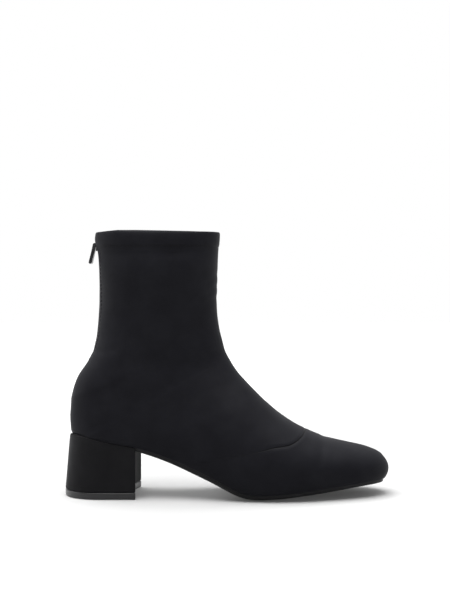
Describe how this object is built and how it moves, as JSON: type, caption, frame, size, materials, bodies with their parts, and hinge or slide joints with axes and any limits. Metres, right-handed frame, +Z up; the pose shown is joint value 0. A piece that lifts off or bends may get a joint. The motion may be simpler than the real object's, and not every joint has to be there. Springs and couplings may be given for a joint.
{
  "type": "stretch ankle boot",
  "caption": "Close-fitting stretch ankle boot with a round toe, folded hem, curved vamp seam, wrapped block heel and a back zip with a swinging pull; hollow for the foot.",
  "frame": {"origin": "on the floor, under the middle of the length and the width", "axes": "+X towards the toe, +Y towards the inner side of the foot, +Z up from the floor"},
  "size_m": [0.2498, 0.082, 0.2029],
  "materials": {
    "stretch_cloth": "black stretch knit, matt with a soft sheen",
    "heel_cover": "black cloth wrapped over the heel block",
    "top_piece_rubber": "black moulded rubber, half gloss",
    "sole_rubber": "black moulded rubber, half matt",
    "lining": "black lining cloth",
    "zip_tape": "black woven tape with nylon coil teeth",
    "zip_metal": "dark nickel plate, bright on its edges"
  },
  "bodies": {
    "boot": {"upper": "stretch_cloth", "insole": "lining", "outsole": "sole_rubber", "heel": "heel_cover", "heel_top_piece": "top_piece_rubber", "zip": "zip_tape", "zip_slider": "zip_metal"},
    "pull": {"zip_pull": "zip_metal"}
  },
  "joints": [
    {"name": "pull_swing", "type": "hinge", "parent": "boot", "child": "pull", "pos_m": [-0.10286, 0, 0.19259], "axis": [0, 1, 0], "range_deg": [0, 150]}
  ]
}
